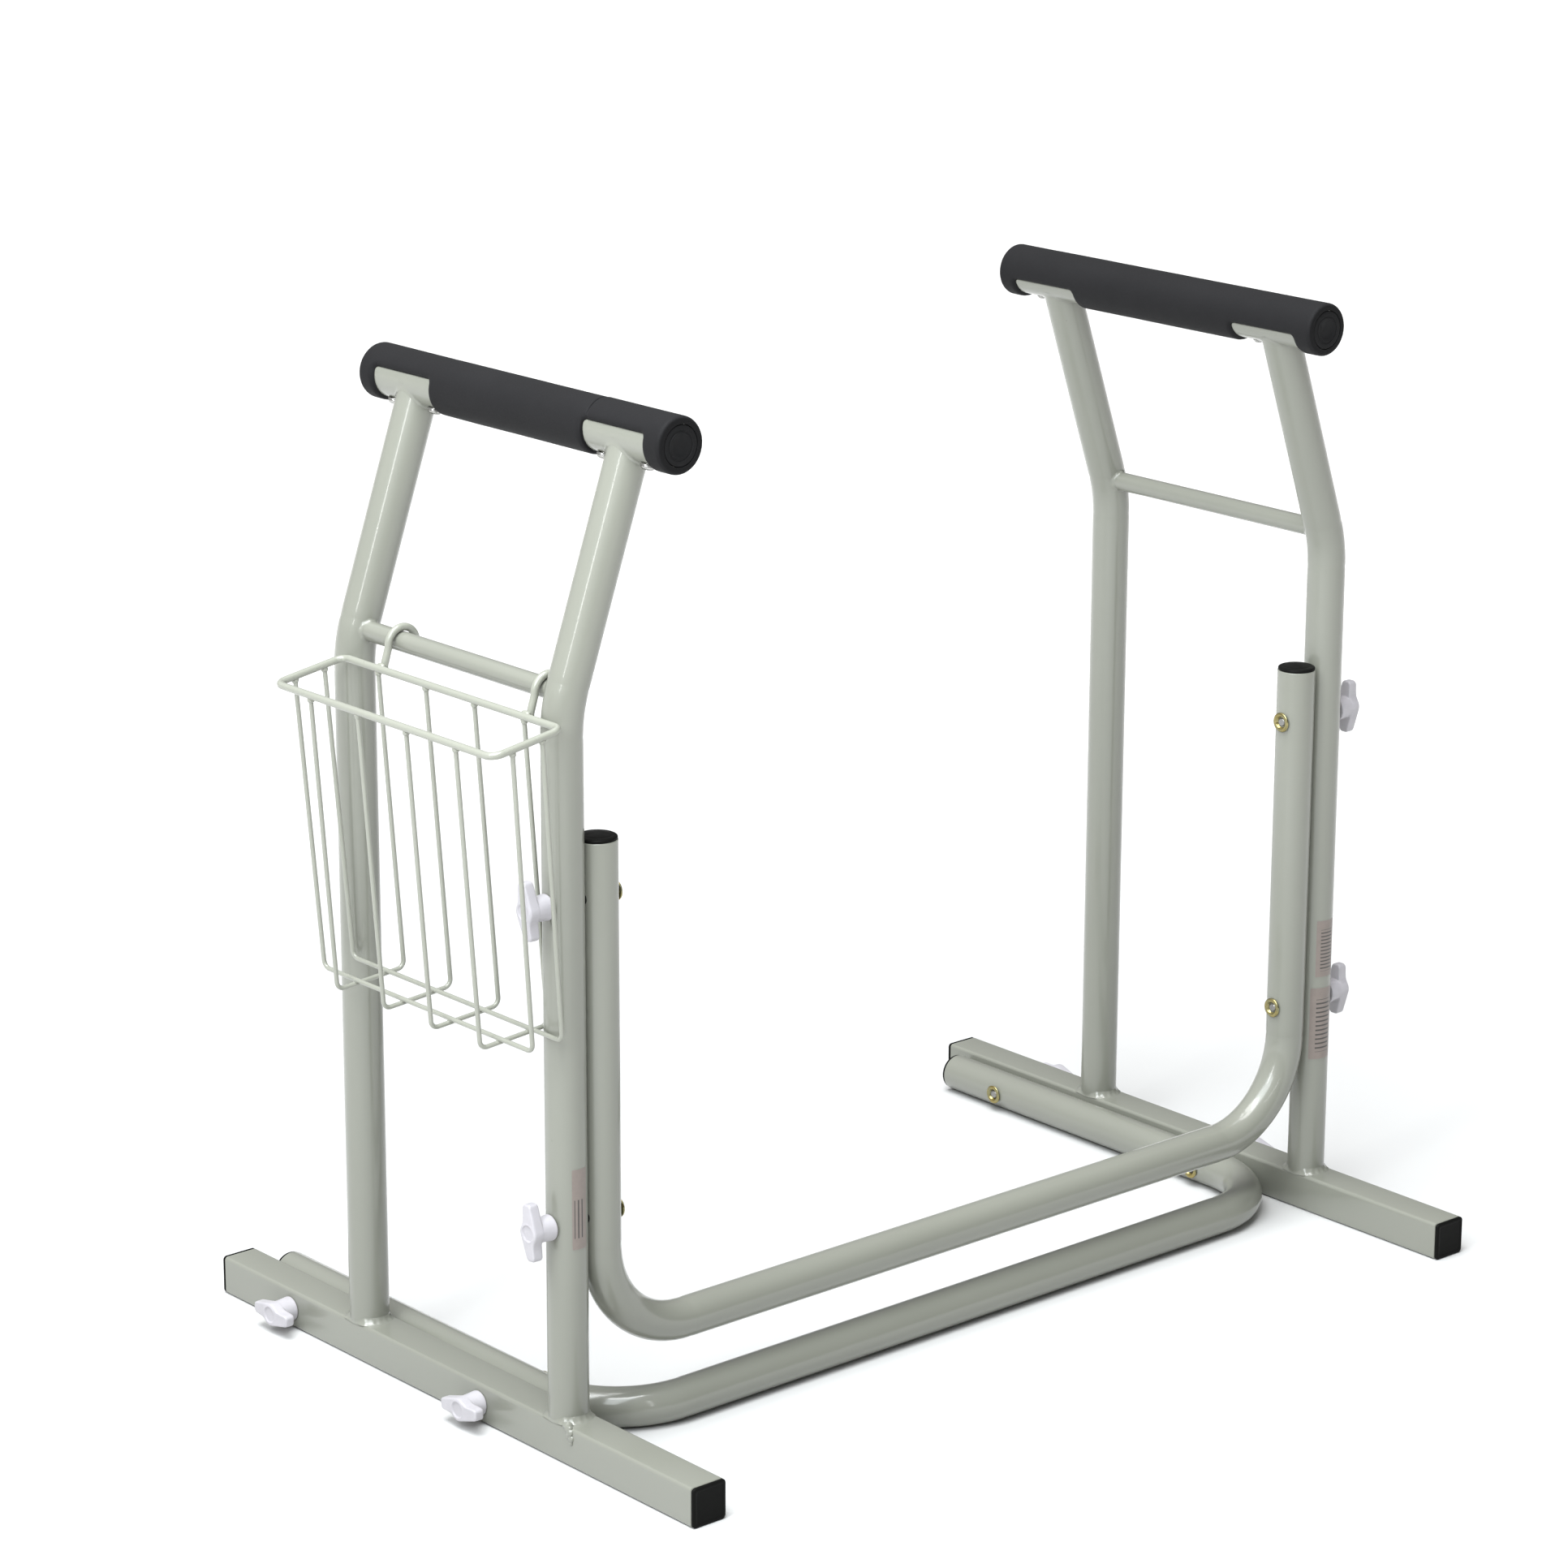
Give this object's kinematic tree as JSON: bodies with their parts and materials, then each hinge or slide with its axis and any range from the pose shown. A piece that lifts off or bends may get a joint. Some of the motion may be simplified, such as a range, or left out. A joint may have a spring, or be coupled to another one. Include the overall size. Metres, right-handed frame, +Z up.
{
  "type": "toilet safety rail",
  "caption": "Free-standing toilet safety rail: two bent side frames with padded armrests, joined by U-shaped tubes clamped with wing knobs, and a hanging wire basket.",
  "frame": {"origin": "on the floor, under the middle of the whole outline (basket and knobs included)", "axes": "+X across the rail, from the side with the basket to the other side; -Y towards the front, where the U-shaped tubes cross; +Z up"},
  "size_m": [0.7469, 0.483, 0.6428],
  "materials": {
    "frame_paint": "glossy pale grey-green powder coat",
    "basket_paint": "glossy pale grey-green powder coat on wire",
    "end_plug": "satin black moulded plastic",
    "foam": "matte charcoal foam with a closed skin",
    "knob_plastic": "satin white moulded plastic",
    "screw_steel": "bright plated",
    "zinc_nut": "yellow zinc plated",
    "core_steel": "plain tube, hidden inside the foam"
  },
  "bodies": {
    "frame": {"foot_left": "frame_paint", "upright_left_front": "frame_paint", "saddle_left_front": "frame_paint", "foot_plug_left_front": "end_plug", "arm_plug_left_front": "end_plug", "screw_left_front_back": "screw_steel", "screw_left_front_fore": "screw_steel", "upright_left_rear": "frame_paint", "saddle_left_rear": "frame_paint", "foot_plug_left_rear": "end_plug", "arm_plug_left_rear": "end_plug", "screw_left_rear_back": "screw_steel", "screw_left_rear_fore": "screw_steel", "rail_left": "frame_paint", "arm_core_left": "core_steel", "arm_foam_left": "foam", "upper_plug_left": "end_plug", "lower_plug_left": "end_plug", "nut_left_upper": "zinc_nut", "nut_left_middle": "zinc_nut", "nut_left_rear": "zinc_nut", "nut_left_front": "zinc_nut", "foot_right": "frame_paint", "upright_right_front": "frame_paint", "saddle_right_front": "frame_paint", "foot_plug_right_front": "end_plug", "arm_plug_right_front": "end_plug", "screw_right_front_back": "screw_steel", "screw_right_front_fore": "screw_steel", "upright_right_rear": "frame_paint", "saddle_right_rear": "frame_paint", "foot_plug_right_rear": "end_plug", "arm_plug_right_rear": "end_plug", "screw_right_rear_back": "screw_steel", "screw_right_rear_fore": "screw_steel", "rail_right": "frame_paint", "arm_core_right": "core_steel", "arm_foam_right": "foam", "upper_plug_right": "end_plug", "lower_plug_right": "end_plug", "nut_right_upper": "zinc_nut", "nut_right_middle": "zinc_nut", "nut_right_rear": "zinc_nut", "nut_right_front": "zinc_nut", "upper_u": "frame_paint", "lower_u": "frame_paint"},
    "basket": {"basket_rim": "basket_paint", "basket_cage": "basket_paint", "basket_hook_front": "basket_paint", "basket_hook_rear": "basket_paint"},
    "knob_left_upper": {"knob_left_upper": "knob_plastic"},
    "knob_left_middle": {"knob_left_middle": "knob_plastic"},
    "knob_left_rear": {"knob_left_rear": "knob_plastic"},
    "knob_left_front": {"knob_left_front": "knob_plastic"},
    "knob_right_upper": {"knob_right_upper": "knob_plastic"},
    "knob_right_middle": {"knob_right_middle": "knob_plastic"},
    "knob_right_rear": {"knob_right_rear": "knob_plastic"},
    "knob_right_front": {"knob_right_front": "knob_plastic"}
  },
  "joints": [
    {"name": "basket_swing", "type": "hinge", "parent": "frame", "child": "basket", "pos_m": [-0.3026, -0.0206, 0.4781], "axis": [0, 1, 0], "range_deg": [0, 75]},
    {"name": "knob_left_upper_turn", "type": "hinge", "parent": "frame", "child": "knob_left_upper", "pos_m": [-0.3188, -0.1085, 0.3515], "axis": [-1, 0, 0], "continuous": true},
    {"name": "knob_left_middle_turn", "type": "hinge", "parent": "frame", "child": "knob_left_middle", "pos_m": [-0.3188, -0.1085, 0.1505], "axis": [-1, 0, 0], "continuous": true},
    {"name": "knob_left_rear_turn", "type": "hinge", "parent": "frame", "child": "knob_left_rear", "pos_m": [-0.3188, 0.1643, 0.0127], "axis": [-1, 0, 0], "continuous": true},
    {"name": "knob_left_front_turn", "type": "hinge", "parent": "frame", "child": "knob_left_front", "pos_m": [-0.3188, -0.0355, 0.0127], "axis": [-1, 0, 0], "continuous": true},
    {"name": "knob_right_upper_turn", "type": "hinge", "parent": "frame", "child": "knob_right_upper", "pos_m": [0.356, -0.1085, 0.3515], "axis": [1, 0, 0], "continuous": true},
    {"name": "knob_right_middle_turn", "type": "hinge", "parent": "frame", "child": "knob_right_middle", "pos_m": [0.356, -0.1085, 0.1505], "axis": [1, 0, 0], "continuous": true},
    {"name": "knob_right_rear_turn", "type": "hinge", "parent": "frame", "child": "knob_right_rear", "pos_m": [0.356, 0.1643, 0.0127], "axis": [1, 0, 0], "continuous": true},
    {"name": "knob_right_front_turn", "type": "hinge", "parent": "frame", "child": "knob_right_front", "pos_m": [0.356, -0.0355, 0.0127], "axis": [1, 0, 0], "continuous": true}
  ]
}
